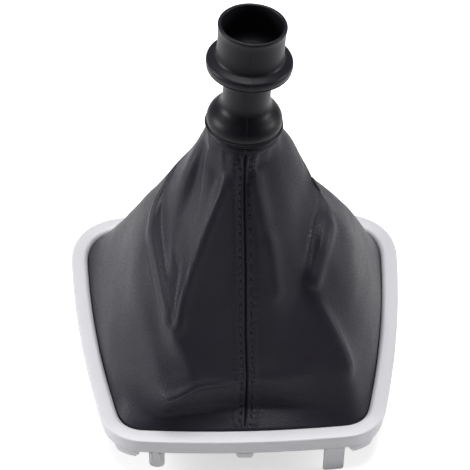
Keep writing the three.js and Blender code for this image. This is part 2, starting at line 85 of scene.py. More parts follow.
# Points and outward normals of the opening, from the middle of the front round by the left
def openingOutline(stepsPerCurve):
    front, rear, half = opening["frontHalfWidth"], opening["rearHalfWidth"], opening["halfDepth"]
    corners = [np.array(c) for c in ((front, -half), (-front, -half), (-rear, half), (rear, half))]
    bulges = [opening["frontBulge"], opening["sideBulge"], opening["rearBulge"], opening["sideBulge"]]
    cuts = [opening["frontCut"], opening["frontCut"], opening["rearCut"], opening["rearCut"]]
    sides = []
    for i in range(4):
        start, end = corners[i], corners[(i + 1) % 4]
        along = end - start
        length = np.linalg.norm(along)
        outward = np.array([-along[1], along[0]]) / length
        control = (start + end) / 2 + outward * 2 * bulges[i]
        sides.append((start, control, end, cuts[i] / length, 1 - cuts[(i + 1) % 4] / length))
    runs = []
    for i in range(4):
        start, control, end, begin, stop = sides[i]
        runs.append((start, control, end, begin, stop))
        nextStart, nextControl, nextEnd, nextBegin, _ = sides[(i + 1) % 4]
        leave = quadratic(start, control, end, stop)
        leaving = quadraticTangent(start, control, end, stop)
        arrive = quadratic(nextStart, nextControl, nextEnd, nextBegin)
        arriving = quadraticTangent(nextStart, nextControl, nextEnd, nextBegin)
        reach = cross2(arrive - leave, arriving) / cross2(leaving, arriving)
        runs.append((leave, leave + leaving * reach, arrive, 0.0, 1.0))
    places, normals = [], []
    for start, control, end, begin, stop in runs:
        for step in range(stepsPerCurve):
            t = begin + (stop - begin) * step / stepsPerCurve
            tangent = quadraticTangent(start, control, end, t)
            places.append(quadratic(start, control, end, t))
            normals.append(np.array([-tangent[1], tangent[0]]) / np.linalg.norm(tangent))
    half = stepsPerCurve // 2
    places = places[half:] + places[:half + 1]
    normals = normals[half:] + normals[:half + 1]
    return np.array(places), np.array(normals)


outlinePlaces, outlineNormals = openingOutline(opening["stepsPerCurve"])
outlineReach = lengthAlong(outlinePlaces)
outlineLength = outlineReach[-1]


# Points at shares of the outline's length, moved outward
def onOutline(share, out):
    wanted = (np.asarray(share) % 1.0) * outlineLength
    place = pointsAt(wanted, outlineReach, outlinePlaces)
    normal = pointsAt(wanted, outlineReach, outlineNormals)
    normal /= np.linalg.norm(normal, axis=-1, keepdims=True)
    return place + normal * np.asarray(out)[..., None]


# Collar's pose, as the lip's height over the bezel's crest with its place and lean, and the
# leather's fold on its plug
collar = {
    "height": 127.5,
    "right": 0.6,
    "back": 8.6,
    "leanDegrees": 3.0,
    "foldRadius": 16.15,
    "innerFoldRadius": 13.0,
    "foldDrop": 3.4,
    "plugDepth": 10.5,
}
lean = math.radians(collar["leanDegrees"])
collarPlace = Matrix.Translation(
    Vector((collar["right"], collar["back"] + middleBack, crestUp + collar["height"]))
)
collarPose = collarPlace @ Euler((-lean, lean, 0)).to_matrix().to_4x4()
collarTurn = np.array(collarPose.to_3x3())
collarCenter = np.array(collarPose.translation)


# Points round the neck, with bearings in degrees from the front round by the left
def onNeck(bearing, radius, up):
    angle = np.radians(bearing)
    local = np.stack([-radius * np.sin(angle), -radius * np.cos(angle), up + 0 * angle], axis=-1)
    return local @ collarTurn.T + collarCenter


# Folds of the leather, as bearing at the neck, share of the opening at the foot, and points
# of (right, back, up, softness round, softness down) in hundredths of the rear half-width,
# the half-depth and the height
foldLines = [
    {"bearing": 0, "foot": 0.0, "points": [
        (0, -17, 88, 45, 45), (1.5, -29, 76, 45, 45), (3, -41.5, 61.5, 45, 45),
        (4, -53.5, 47, 45, 45), (4, -65.5, 33.5, 45, 40), (3.5, -75, 23.5, 45, 35),
        (3, -83, 15.5, 45, 20), (2, -85.5, 3, 45, 25)]},
    {"bearing": 21, "foot": 0.042, "points": [
        (-8.5, -23.5, 86.5, 30, 45), (-18.5, -36, 77, 14, 45), (-29.5, -49.5, 62, 12, 45),
        (-37, -59.5, 48.5, 10, 40), (-40.5, -70, 36, 12, 30), (-34.5, -81, 26.5, 10, 35),
        (-29.5, -92.5, 18.5, 14, 15), (-29, -92, 4, 40, 35)]},
    {"bearing": 62, "foot": 0.075, "points": [
        (-24, -1, 89.5, 14, 45), (-25, -11, 81, 12, 40), (-35.5, -30, 52, 25, 45),
        (-41, -50, 42.5, 22, 40), (-43.5, -71.5, 36.5, 20, 14), (-40, -80, 22.5, 40, 40),
        (-40, -97, 15.5, 40, 14), (-41, -93.5, 4.5, 40, 35)]},
    {"bearing": 82, "foot": 0.105, "points": [
        (-23.5, 8, 89.5, 30, 45), (-26.5, 1.5, 80.5, 30, 45), (-41, -15, 55.5, 40, 40),
        (-45.5, -40.5, 45, 45, 35), (-47, -61.5, 39.5, 45, 10), (-50, -67.5, 23.5, 50, 40),
        (-52.5, -99.5, 12.5, 50, 16), (-57.5, -95, 3, 50, 35)]},
    {"bearing": 98, "foot": 0.165, "points": [
        (-27.5, 13, 88.5, 50, 45), (-34.5, 4.5, 81, 50, 45), (-42, 3, 68, 50, 40),
        (-49, 8, 57.5, 50, 30), (-55, 0, 53.5, 40, 10), (-63, -28.5, 41.5, 50, 45),
        (-72, -42, 20.5, 50, 45), (-82.5, -65, 6.5, 50, 45)]},
    {"bearing": 112, "foot": 0.25, "points": [
        (-25, 24, 89.5, 40, 45), (-31.5, 20.5, 81.5, 40, 45), (-39.5, 18.5, 73, 40, 40),
        (-46.5, 17, 65.5, 40, 35), (-52, 14, 59, 30, 10), (-68, 5.5, 42.5, 50, 45),
        (-81, 10, 21, 50, 45), (-91.5, 4, 6.5, 50, 45)]},
    {"bearing": 130, "foot": 0.345, "points": [
        (-20.5, 32.5, 90, 40, 45), (-24.5, 32.5, 85.5, 40, 45), (-28.5, 33.5, 81, 40, 45),
        (-34, 34.5, 76, 35, 30), (-43.5, 26.5, 70.5, 20, 15), (-59, 46.5, 48.5, 20, 45),
        (-75, 65.5, 26.5, 25, 45), (-91, 87, 6.5, 45, 45)]},
    {"bearing": 154, "foot": 0.43, "points": [
        (-12, 39, 88.5, 50, 45), (-16, 45, 80, 50, 45), (-19.5, 51.5, 71.5, 50, 45),
        (-23.5, 57.5, 62.5, 50, 45), (-27.5, 65.5, 53.5, 50, 45), (-35.5, 78, 37.5, 50, 45),
        (-44.5, 92, 21, 50, 45), (-51.5, 101, 8, 50, 45)]},
    {"bearing": 180, "foot": 0.5, "points": [
        (1, 46.5, 88, 40, 45), (0.5, 56, 77, 40, 45), (0.5, 64, 67.5, 40, 45),
        (0, 71.5, 58, 40, 45), (0, 79.5, 48.5, 40, 45), (0, 89.5, 36, 40, 45),
        (0, 99, 21, 40, 45), (0, 105, 8, 40, 45)]},
    {"bearing": 206, "foot": 0.57, "points": [
        (14.5, 40.5, 88.5, 50, 45), (18.5, 46.5, 80, 50, 45), (22.5, 53, 71.5, 50, 45),
        (26.5, 59, 62.5, 50, 45), (31, 66, 53.5, 50, 45), (39.5, 78, 37, 50, 45),
        (50, 90.5, 21, 50, 45), (56.5, 101, 8, 50, 45)]},
    {"bearing": 234, "foot": 0.655, "points": [
        (25.5, 26.5, 91, 40, 45), (30.5, 27.5, 86.5, 40, 45), (34, 26.5, 81.5, 40, 40),
        (38, 24, 77, 35, 30), (42, 17.5, 72, 15, 12), (65, 35.5, 50, 15, 45),
        (80, 52.5, 30, 20, 45), (94.5, 78, 8.5, 45, 45)]},
    {"bearing": 250, "foot": 0.73, "points": [
        (28, 18.5, 90, 50, 45), (33.5, 16.5, 83, 45, 45), (40, 13.5, 73.5, 40, 40),
        (48, 11, 65.5, 40, 30), (55, 6, 60, 25, 12), (71.5, -0.5, 44.5, 50, 45),
        (84, 9, 25, 50, 45), (93.5, 17, 8, 50, 45)]},
    {"bearing": 263, "foot": 0.79, "points": [
        (27, 10.5, 90, 50, 45), (33, 6, 81.5, 50, 45), (39.5, 3, 70, 50, 40),
        (44.5, -4.5, 60.5, 50, 30), (49.5, -20, 57.5, 25, 12), (67, -29, 42.5, 50, 45),
        (80, -28, 22, 50, 45), (88, -29, 8, 50, 45)]},
    {"bearing": 280, "foot": 0.84, "points": [
        (24, 1.5, 89.5, 50, 45), (30.5, -4.5, 79, 50, 45), (36.5, -10.5, 65, 40, 40),
        (39.5, -24, 55.5, 35, 30), (42, -43.5, 48.5, 22, 12), (59.5, -50, 31.5, 50, 45),
        (73, -54, 16.5, 50, 45), (79.5, -64, 7, 50, 45)]},
    {"bearing": 302, "foot": 0.885, "points": [
        (18, -6.5, 89.5, 50, 45), (24, -17.5, 77.5, 50, 45), (30.5, -29, 62.5, 50, 40),
        (34.5, -39, 52, 40, 30), (38, -43, 45, 25, 15), (52, -57, 33.5, 16, 35),
        (63.5, -74.5, 22.5, 16, 35), (67, -91.5, 7, 30, 40)]},
    {"bearing": 330, "foot": 0.955, "points": [
        (5.5, -13.5, 90, 40, 45), (9, -28, 79, 30, 45), (14.5, -43.5, 63.5, 25, 45),
        (17.5, -55, 49.5, 35, 45), (20, -66, 35.5, 35, 40), (21, -76.5, 25, 35, 35),
        (23.5, -84, 15.5, 45, 25), (26, -87, 3, 50, 25)]},
]
leather = {
    "thickness": 1.1,
    "clearance": 0.3,
    "footDepth": 1.2,
    "hemTurnDepth": 4.0,
    "hemDepth": 4.85,
    "hemTurn": 0.5,
    "hemWidth": 3.4,
    "columnSamples": 12,
    "rowSteps": 22,
    "middleColumns": 76,
    "hemSamples": 400,
    "foldSteps": 8,
}


# Point t along a polygon, each corner rounded over its softness as a share of both sides
def roundedRun(points, softness, t):
    corner = int(math.floor(t + 0.5))
    offset = t - corner
    if corner <= 0:
        return points[0] + t * (points[1] - points[0])
    if corner >= len(points) - 1:
        return points[-1] + (len(points) - 1 - t) * (points[-2] - points[-1])
    near = points[corner - 1] if offset < 0 else points[corner + 1]
    soft = softness[corner]
    if abs(offset) >= soft:
        return points[corner] + abs(offset) * (near - points[corner])
    leave = points[corner] + soft * (points[corner - 1] - points[corner])
    arrive = points[corner] + soft * (points[corner + 1] - points[corner])
    return quadratic(leave, points[corner], arrive, (offset + soft) / (2 * soft))


# Smooth run through one value for each fold line, going on by period each full turn
def aroundLines(values, period, u):
    lines = len(values)
    base = int(math.floor(u))
    t = u - base
    a, b, c, d = [values[i % lines] + (i // lines) * period for i in range(base - 1, base + 3)]
    return 0.5 * (2 * b + (c - a) * t + (2 * a - 5 * b + 4 * c - d) * t ** 2
                  + (3 * b - a - 3 * c + d) * t ** 3)


foldGrid = np.array([[p[:3] for p in line["points"]] for line in foldLines], float) / 100
foldGrid *= (opening["rearHalfWidth"], opening["halfDepth"], collar["height"])
foldGrid += (0, middleBack, crestUp)
roundSoftness = np.array([[p[3] for p in line["points"]] for line in foldLines]) / 100
downSoftness = np.array([[50, *(p[4] for p in line["points"]), 50] for line in foldLines]) / 100
bearings = [line["bearing"] for line in foldLines]
footShares = [line["foot"] for line in foldLines]
lineCount = len(foldLines)
rowCount = foldGrid.shape[1] + 2


def footPoint(u, out, down):
    right, back = onOutline(aroundLines(footShares, 1.0, u), out)
    return np.array([right, back + middleBack, crestUp - down])


# Control points down the leather at u lines round from the front seam
def leatherRows(u):
    line = int(math.floor(u + 0.5))
    around = [(line + k) % lineCount for k in (-1, 0, 1)]
    inset = leather["clearance"] + leather["thickness"] / 2
    rows = [onNeck(aroundLines(bearings, 360.0, u), collar["foldRadius"], -collar["foldDrop"])]
    for row in range(foldGrid.shape[1]):
        three = foldGrid[around, row]
        soft = [0.5, roundSoftness[around[1], row], 0.5]
        rows.append(roundedRun(three, soft, u - line + 1))
    rows.append(footPoint(u, -inset, leather["footDepth"]))
    return np.array(rows)


# Softness of each row's bend at u lines round, between those of the lines beside it
def softnessDown(u):
    base = int(math.floor(u))
    before, after = downSoftness[base % lineCount], downSoftness[(base + 1) % lineCount]
    return before * (1 - u + base) + after * (u - base)


# Middle of the leather, rows down and samples round
def hangingGrid(fromLine, toLine):
    samples = np.linspace(fromLine, toLine, (toLine - fromLine) * leather["columnSamples"] + 1)
    depths = np.linspace(0, rowCount - 1, (rowCount - 1) * leather["rowSteps"] + 1)
    columns = [(leatherRows(u), softnessDown(u)) for u in samples]
    grid = np.array([[roundedRun(rows, softness, v) for rows, softness in columns] for v in depths])
    return grid, samples


# Distances from a seam at which the leather has its own columns, and the share of a row that
# they may take up at each end
seamColumns = [0, 0.25, 0.5, 0.8, 1.1, 1.5, 1.9, 2.2, 2.5, 2.8, 3.2, 3.7, 4.3, 4.9, 5.4, 5.8, 6.2, 6.8, 7.6]
seamShare = 0.3


# Points of one row at the seam columns from both ends, and evenly between them
def resampleRow(row):
    reach = lengthAlong(row)
    near = np.array(seamColumns) * min(1.0, seamShare * reach[-1] / seamColumns[-1])
    middle = np.linspace(near[-1], reach[-1] - near[-1], leather["middleColumns"] + 2)[1:-1]
    wanted = np.concatenate([near, middle, reach[-1] - near[::-1]])
    return pointsAt(wanted, reach, row), wanted, reach


def gridNormals(grid):
    normals = np.cross(np.gradient(grid, axis=1), np.gradient(grid, axis=0))
    return normals / np.maximum(np.linalg.norm(normals, axis=-1, keepdims=True), 1e-9)


def newObject(name, vertices, faces, smooth=True):
    mesh = bpy.data.meshes.new(name)
    mesh.from_pydata([tuple(v) for v in vertices], [], faces)
    mesh.validate()
    for polygon in mesh.polygons:
        polygon.use_smooth = smooth
    made = bpy.data.objects.new(name, mesh)
    bpy.context.collection.objects.link(made)
    return made


def softBump(distance, center, width):
    return np.exp(-((distance - center) / width) ** 2)


# Seam in section: a closed groove, the folded allowance standing proud, and stitch rows that
# press it down. Gathers lie beside the stitches, and tufts stand at the top of the seam. Puckers
# run down from the tied neck and fade out.
seam = {
    "grooveDepth": 0.62,
    "grooveWidth": 0.3,
    "foldWidth": 0.9,
    "allowance": 5.6,
    "allowanceRise": 0.5,
    "allowanceSlope": 0.35,
    "edgePlace": 1.1,
    "edgeRise": 0.22,
    "edgeWidth": 0.45,
    "stitchRow": 2.5,
    "stitchPress": 0.9,
    "pressBetween": 0.3,
    "pressWidth": 0.6,
    "stitchPitch": 4.0,
    "firstStitch": 5.0,
    "lastStitch": 3.0,
    "stitchLength": 3.1,
    "threadRadius": 0.3,
    "threadLift": 0.3,
    "wander": 0.35,
    "wanderStretch": 9.0,
}
gathers = {"pitch": 2.7, "wander": 1.6, "wanderStretch": 6.0, "patchiness": 0.4, "patchStretch": 8.5,
           "rise": 0.14, "place": 4.2, "width": 2.4}
tufts = {"aside": 1.3, "width": 0.6, "down": 3.2, "length": 2.0, "rise": 0.6}
puckers = {"count": 13, "rise": 0.16, "reach": 13.0, "top": 3.0, "uneven": 1.3}
surfaceWaves = [
    {"size": 26.0, "rise": 0.55, "seed": 3.1},
    {"size": 11.0, "rise": 0.22, "seed": 7.7},
]
# Distances over which a form fades out towards the neck, the hem and a seam
fades = {"waveNeck": 5.0, "waveHem": 8.0, "waveSeam": 9.0, "seamNeck": 2.0, "seamHem": 3.0,
         "creaseSeam": 7.0}


def seamRise(distance, along):
    wander = seam["wander"] * np.sin(along / seam["wanderStretch"])
    edge = 1 / (1 + np.exp((distance - seam["allowance"] - wander) / seam["allowanceSlope"]))
    rise = seam["allowanceRise"] * edge * (1 - softBump(distance, 0, seam["foldWidth"]))
    rise += seam["edgeRise"] * softBump(distance, seam["edgePlace"], seam["edgeWidth"])
    rise -= seam["grooveDepth"] * softBump(distance, 0, seam["grooveWidth"])
    hole = (0.5 - 0.5 * np.cos((along - seam["firstStitch"]) * 2 * math.pi / seam["stitchPitch"])) ** 3
    press = seam["pressBetween"] + (1 - seam["pressBetween"]) * hole
    rise -= seam["stitchPress"] * press * softBump(distance, seam["stitchRow"], seam["pressWidth"])
    wave = gathers["wander"] * np.sin(along / gathers["wanderStretch"])
    drawn = np.sin(along * 2 * math.pi / gathers["pitch"] + wave)
    patchy = 1 - gathers["patchiness"] * (1 - np.sin(along / gathers["patchStretch"] + 1.0))
    rise += gathers["rise"] * drawn * patchy * softBump(distance, gathers["place"], gathers["width"])
    tuft = softBump(distance, tufts["aside"], tufts["width"])
    tuft = tuft * softBump(along, tufts["down"], tufts["length"])
    return rise + tufts["rise"] * tuft


def waveRise(points):
    total = np.zeros(points.shape[:2])
    for wave in surfaceWaves:
        for i in range(points.shape[0]):
            for j in range(points.shape[1]):
                place = Vector(points[i, j] / wave["size"]) + Vector((wave["seed"],) * 3)
                total[i, j] += wave["rise"] * noise.noise(place)
    return total


# 1 at 0 and 0 from end on, with a soft slope at both
def fadeTo(values, end):
    t = np.clip(values / end, 0, 1)
    return 1 - t * t * (3 - 2 * t)


# Pinched crests and valleys of the folds: along a fold line from one row to another, or along
# a row from one fold line to another. aside moves one off its line, and a negative rise makes
# a valley. width is the slope on one side, of which its sign says which, and edge is the slope
# on the other.
creases = [
    {"line": 1, "aside": 1.4, "from": 0.6, "to": 5.2, "rise": 2.0, "width": 2.6, "edge": 2.0},
    {"line": 1, "aside": 1.0, "from": 5.2, "to": 7.1, "rise": 0.5, "width": 2.4, "edge": 2.0},
    {"line": 1, "aside": 7.5, "from": 0.6, "to": 3.6, "rise": -0.9, "width": 4.0, "edge": 4.0},
    {"line": 2, "aside": 0.6, "from": 0.2, "to": 2.6, "rise": -1.6, "width": 6.5, "edge": 0.6},
    {"line": 15, "aside": 0.6, "from": 0.7, "to": 2.8, "rise": 1.5, "width": -4.6, "edge": 2.4},
    {"line": 15, "aside": -1.0, "from": 2.4, "to": 4.6, "rise": 1.5, "width": -4.6, "edge": 2.4},
    {"line": 14, "aside": -1.8, "from": 5.0, "to": 7.7, "rise": 1.5, "width": -3.0, "edge": 2.6},
    {"row": 5, "aside": 2.2, "from": 2.4, "to": 5.8, "rise": 1.4, "width": 3.6, "edge": 3.6},
    {"row": 5, "aside": 2.6, "from": 11.0, "to": 13.8, "rise": 1.7, "width": 4.0, "edge": 4.0},
    {"row": 7, "aside": 0.0, "from": 0.2, "to": 2.95, "rise": 1.3, "width": -3.0, "edge": 1.4},
    {"row": 7, "aside": 0.0, "from": 14.4, "to": 15.8, "rise": 0.4, "width": 3.5, "edge": 3.5},
]
creaseFade = 0.5


def creaseRise(grid, wanted, reaches, lineAt, fromLine, toLine):
    rowAt = np.linspace(0, rowCount - 1, grid.shape[0])
    steps = np.linalg.norm(np.diff(grid, axis=0), axis=2)
    downAt = np.concatenate([np.zeros((1, grid.shape[1])), np.cumsum(steps, axis=0)])
    total = np.zeros(grid.shape[:2])
    for crease in creases:
        if "line" in crease:
            if not fromLine <= crease["line"] <= toLine:
                continue
            sample = (crease["line"] - fromLine) * leather["columnSamples"]
            distance = wanted - reaches[:, sample][:, None]
            along = rowAt[:, None] + 0 * wanted
        else:
            distance = downAt - downAt[crease["row"] * leather["rowSteps"]][None, :]
            along = lineAt
        inside = np.minimum(along - crease["from"], crease["to"] - along)
        strength = 1 - fadeTo(np.maximum(inside, 0), creaseFade)
        offset = distance - crease["aside"]
        reach = np.where(offset * crease["width"] > 0, abs(crease["width"]), crease["edge"])
        total += crease["rise"] * strength * softBump(offset, 0, reach)
    return total


def leatherPanel(name, fromLine, toLine):
    dense, samples = hangingGrid(fromLine, toLine)
    rows = [resampleRow(row) for row in dense]
    grid, wanted, reaches = [np.array([row[k] for row in rows]) for k in range(3)]
    fromSeam = np.minimum(wanted, reaches[:, -1:] - wanted)
    lineAt = np.array([np.interp(wanted[i], reaches[i], samples) for i in range(len(rows))])
    down = lengthAlong(grid[:, 0])
    fromNeck = np.repeat(down[:, None], grid.shape[1], axis=1)
    fromHem = down[-1] - fromNeck
    share = np.linspace(0, 1, grid.shape[1])
    sampleBearings = [aroundLines(bearings, 360.0, u) for u in samples]
    bearing = np.radians(np.interp(share, np.linspace(0, 1, len(samples)), sampleBearings))[None, :]
    normals = gridNormals(grid)
    rise = seamRise(fromSeam, fromNeck)
    rise *= (1 - fadeTo(fromNeck, fades["seamNeck"])) * (1 - fadeTo(fromHem, fades["seamHem"]))
    pleat = np.cos(bearing * puckers["count"] + puckers["uneven"] * np.sin(bearing))
    pleat = pleat * fadeTo(fromNeck, puckers["reach"]) * (1 - fadeTo(fromNeck, puckers["top"]))
    rise += puckers["rise"] * pleat
    calm = (1 - fadeTo(fromNeck, fades["waveNeck"])) * (1 - fadeTo(fromHem, fades["waveHem"]))
    rise += waveRise(grid) * calm * (1 - fadeTo(fromSeam, fades["waveSeam"]))
    crease = creaseRise(grid, wanted, reaches, lineAt, fromLine, toLine)
    rise += crease * (1 - fadeTo(fromSeam, fades["creaseSeam"]))
    middle = grid + normals * rise[..., None]
    return buildPanel(name, middle, normals, fromLine, toLine), middle, normals


# Rows under the bezel, from where the leather goes down inside its edge
def hemRows(middle, fromLine, toLine):
    reach = lengthAlong(middle[-1])
    u = np.linspace(fromLine, toLine, leather["hemSamples"])
    inset = leather["clearance"] + leather["thickness"] / 2
    footReach = lengthAlong(np.array([footPoint(x, -inset, 0) for x in u]))
    wanted = np.interp(reach / reach[-1] * footReach[-1], footReach, u)
    turns = [(-inset, leather["hemTurnDepth"]), (leather["hemTurn"] - inset, leather["hemDepth"]),
             (leather["hemWidth"], leather["hemDepth"])]
    return np.array([[footPoint(x, out, depth) for x in wanted] for out, depth in turns])


# Rows of the neck's fold over the tie band, from its free end up and over
def foldRows(count, fromLine, toLine):
    bearing = np.array([aroundLines(bearings, 360.0, u) for u in np.linspace(fromLine, toLine, count)])
    center = (collar["foldRadius"] + collar["innerFoldRadius"]) / 2
    radius = (collar["foldRadius"] - collar["innerFoldRadius"]) / 2
    rows = [onNeck(bearing, collar["innerFoldRadius"], -collar["plugDepth"])]
    for step in range(leather["foldSteps"]):
        angle = math.pi - math.pi * step / leather["foldSteps"]
        up = radius * math.sin(angle) - collar["foldDrop"]
        rows.append(onNeck(bearing, center + radius * math.cos(angle), up))
    return np.array(rows)


def buildPanel(name, middle, normals, fromLine, toLine):
    fold = foldRows(middle.shape[1], fromLine, toLine)
    hem = hemRows(middle, fromLine, toLine)
    whole = np.concatenate([fold, middle, hem])
    ends = gridNormals(whole)
    ends[len(fold):len(fold) + len(middle)] = normals
    halfSkin = leather["thickness"] / 2
    outer = (whole + ends * halfSkin).reshape(-1, 3)
    inner = (whole - ends * halfSkin).reshape(-1, 3)
    rows, columns = whole.shape[:2]
    faces = []
    offset = rows * columns

    def at(i, j):
        return i * columns + j

    for i in range(rows - 1):
        for j in range(columns - 1):
            quad = (at(i, j), at(i, j + 1), at(i + 1, j + 1), at(i + 1, j))
            faces.append(quad[::-1])
            faces.append(tuple(offset + k for k in quad))
    rim = [at(0, j) for j in range(columns)] + [at(i, columns - 1) for i in range(1, rows)]
    rim += [at(rows - 1, j) for j in range(columns - 2, -1, -1)] + [at(i, 0) for i in range(rows - 2, 0, -1)]
    for k, a in enumerate(rim):
        b = rim[(k + 1) % len(rim)]
        faces.append((a, b, offset + b, offset + a))
    return newObject(name, np.concatenate([outer, inner]) * mm, faces)


rearSeamLine = lineCount // 2
leftPanel, leftMiddle, leftNormals = leatherPanel("leather_left", 0, rearSeamLine)
rightPanel, rightMiddle, rightNormals = leatherPanel("leather_right", rearSeamLine, lineCount)
print("leather made", len(leftPanel.data.vertices))

# Trim frame: bezel and skirt in section, then the legs, tabs and hooks of the skirt
trim = {
    "bezelWidth": 8.2,
    "bezelThickness": 3.2,
    "lipDepth": 4.0,
    "lipWall": 1.6,
    "innerRadius": 2.4,
    "outerRadius": 1.0,
    "edgeDepth": 2.3,
    "crown": 0.12,
    "crownSteps": 6,
    "skirtStep": 0.9,
    "skirtWall": 1.2,
    "skirtDepth": 9.2,
    "cornerCut": 0.2,
    "stations": 420,
    "edgeBevel": 0.18,
    "bevelSegments": 2,
    "bevelAngle": 50,
}
legs = {
    "leftWidth": 7.4,
    "leftLength": 11.0,
    "leftPlace": 41.5,
    "leftRoundness": 0.45,
    "leftRibs": (-1 / 3, 1 / 6),
    "rightWidth": 9.9,
    "rightLength": 16.3,
    "rightPlace": 42.5,
    "rightRibEnd": 3.0,
    "cornerRadius": 1.6,
    "ribWidth": 0.9,
    "ribHeight": 0.5,
    "tabWidth": 8.4,
    "tabLength": 3.5,
    "tabChamfer": 1.2,
    "cornerTabPlace": 53.5,
    "levels": 5,
}
hooks = {
    "places": [0.07, 0.16, 0.24, 0.34, 0.44, 0.56, 0.66, 0.76, 0.84, 0.93],
    "depth": 0.9,
    "width": 7.0,
    "height": 1.1,
    "slopeShare": 0.4,
    "top": 8.3,
    "rootDepth": 0.5,
}
skirtOuter = trim["bezelWidth"] - trim["skirtStep"]
skirtInner = skirtOuter - trim["skirtWall"]


def arc(centerX, centerY, radius, fromDegrees, toDegrees, steps):
    angles = [math.radians(fromDegrees + (toDegrees - fromDegrees) * i / steps) for i in range(steps + 1)]
    return [(centerX + radius * math.cos(a), centerY + radius * math.sin(a)) for a in angles]


def frameSection():
    inner, outer, width = trim["innerRadius"], trim["outerRadius"], trim["bezelWidth"]
    cut, shares = trim["cornerCut"], [k / trim["crownSteps"] for k in range(1, trim["crownSteps"])]
    crownRun = [(inner + (width - outer - inner) * s, trim["crown"] * math.sin(math.pi * s)) for s in shares]
    return [
        (0, -trim["lipDepth"]),
        *arc(inner, -inner, inner, 180, 90, 10),
        *crownRun,
        *arc(width - outer, -outer, outer, 90, 0, 8),
        (width, cut - trim["edgeDepth"]),
        (width - cut, -trim["edgeDepth"]),
        (skirtOuter, -trim["edgeDepth"]),
        (skirtOuter, cut - trim["skirtDepth"]),
        (skirtOuter - cut, -trim["skirtDepth"]),
        (skirtInner, -trim["skirtDepth"]),
        (skirtInner, -trim["bezelThickness"]),
        (trim["lipWall"], -trim["bezelThickness"]),
        (trim["lipWall"], -trim["lipDepth"]),
    ]


# Points along the opening, at one distance from its edge and one height over the bezel's crest
def runAt(shares, out, up):
    place = onOutline(shares, np.full(len(shares), out))
    return [(right, back + middleBack, crestUp + up) for right, back in place]


def sweptRing(section, stations):
    share = np.arange(stations) / stations
    count = len(section)
    vertices = np.stack([runAt(share, out, up) for out, up in section], axis=1).reshape(-1, 3)
    faces = []
    for i in range(stations):
        a, b = i * count, ((i + 1) % stations) * count
        for j in range(count):
            k = (j + 1) % count
            faces.append((a + j, a + k, b + k, b + j))
    return vertices, faces


# Share of the outline that lies so many millimetres to the right of another, front or rear
def shareBeside(share, along):
    return share - along / outlineLength * (1 if abs(share - 0.5) > 0.25 else -1)


# Plate that carries the skirt's wall on below it, as deep as depthAt says along its width
def hangingPlate(share, width, depthAt, proud, steps=20):
    along = np.linspace(-width / 2, width / 2, steps + 1)
    shares = shareBeside(share, along)
    levels = legs["levels"]
    vertices = []
    for out in (skirtInner, skirtOuter + proud):
        place = onOutline(shares, np.full(steps + 1, out))
        for level in range(levels):
            for i, a in enumerate(along):
                drop = depthAt(a) * level / (levels - 1)
                vertices.append((place[i, 0], place[i, 1] + middleBack, crestUp - trim["skirtDepth"] - drop))
    size = levels * (steps + 1)
    faces = []
    for level in range(levels - 1):
        for i in range(steps):
            a = level * (steps + 1) + i
            quad = (a, a + 1, a + steps + 2, a + steps + 1)
            faces.append(quad)
            faces.append(tuple(size + k for k in quad[::-1]))
    top = list(range(steps + 1))
    bottom = [(levels - 1) * (steps + 1) + i for i in range(steps + 1)]
    left = [level * (steps + 1) for level in range(levels)]
    right = [level * (steps + 1) + steps for level in range(levels)]
    for run, flip in ((top, True), (bottom, False), (left, False), (right, True)):
        for a, b in zip(run, run[1:]):
            face = (a, b, size + b, size + a)
            faces.append(face[::-1] if flip else face)
    return vertices, faces


def roundEnd(width, length, radius):
    def depthAt(a):
        over = max(0.0, abs(a) - (width / 2 - radius))
        return length - radius + math.sqrt(max(0.0, radius * radius - over * over))
    return depthAt


def tabEnd(a):
    over = max(0.0, abs(a) - (legs["tabWidth"] / 2 - legs["tabChamfer"]))
    return legs["tabLength"] - over / legs["tabChamfer"] * (legs["tabLength"] - legs["tabChamfer"])


def plateRib(share, along, length):
    place = shareBeside(share, along)
    return hangingPlate(place, legs["ribWidth"], lambda a: length, legs["ribHeight"], steps=4)


# Wedge on the skirt's inner wall, under the hem ring
def hookShell(shares):
    top, height, tip = hooks["top"], hooks["height"], skirtInner - hooks["depth"]
    root = skirtInner + hooks["rootDepth"]
    section = [(root, -top), (tip, -top), (tip, -top - height * hooks["slopeShare"]), (root, -top - height)]
    vertices = [point for out, up in section for point in runAt(shares, out, up)]
    count = len(shares)
    faces = []
    for s in range(4):
        a, b = s * count, (s + 1) % 4 * count
        faces.extend((a + i, b + i, b + i + 1, a + i + 1) for i in range(count - 1))
    faces.append((0, 3 * count, 2 * count, count))
    faces.append((count - 1, 2 * count - 1, 3 * count - 1, 4 * count - 1))
    return vertices, faces


def trimShells():
    yield sweptRing(frameSection(), trim["stations"])
    leftRadius = legs["leftWidth"] * legs["leftRoundness"]
    leftEnd = roundEnd(legs["leftWidth"], legs["leftLength"], leftRadius)
    rightEnd = roundEnd(legs["rightWidth"], legs["rightLength"], legs["cornerRadius"])
    leftRibLength = legs["leftLength"] - leftRadius - legs["cornerRadius"]
    rightRibLength = legs["rightLength"] - legs["rightRibEnd"]
    for shareAt in (lambda x: -x / outlineLength, lambda x: 0.5 + x / outlineLength):
        left, right = shareAt(-legs["leftPlace"]) % 1, shareAt(legs["rightPlace"]) % 1
        yield hangingPlate(left, legs["leftWidth"], leftEnd, 0, steps=28)
        yield hangingPlate(right, legs["rightWidth"], rightEnd, 0, steps=28)
        for place in legs["leftRibs"]:
            yield plateRib(left, legs["leftWidth"] * place, leftRibLength)
        yield plateRib(right, (legs["ribWidth"] - legs["rightWidth"]) / 2, rightRibLength)
        for place in (-legs["cornerTabPlace"], 0, legs["cornerTabPlace"]):
            yield hangingPlate(shareAt(place) % 1, legs["tabWidth"], tabEnd, 0)
    half = hooks["width"] / 2 / outlineLength
    for share in hooks["places"]:
        yield hookShell(share + np.linspace(-half, half, 7))


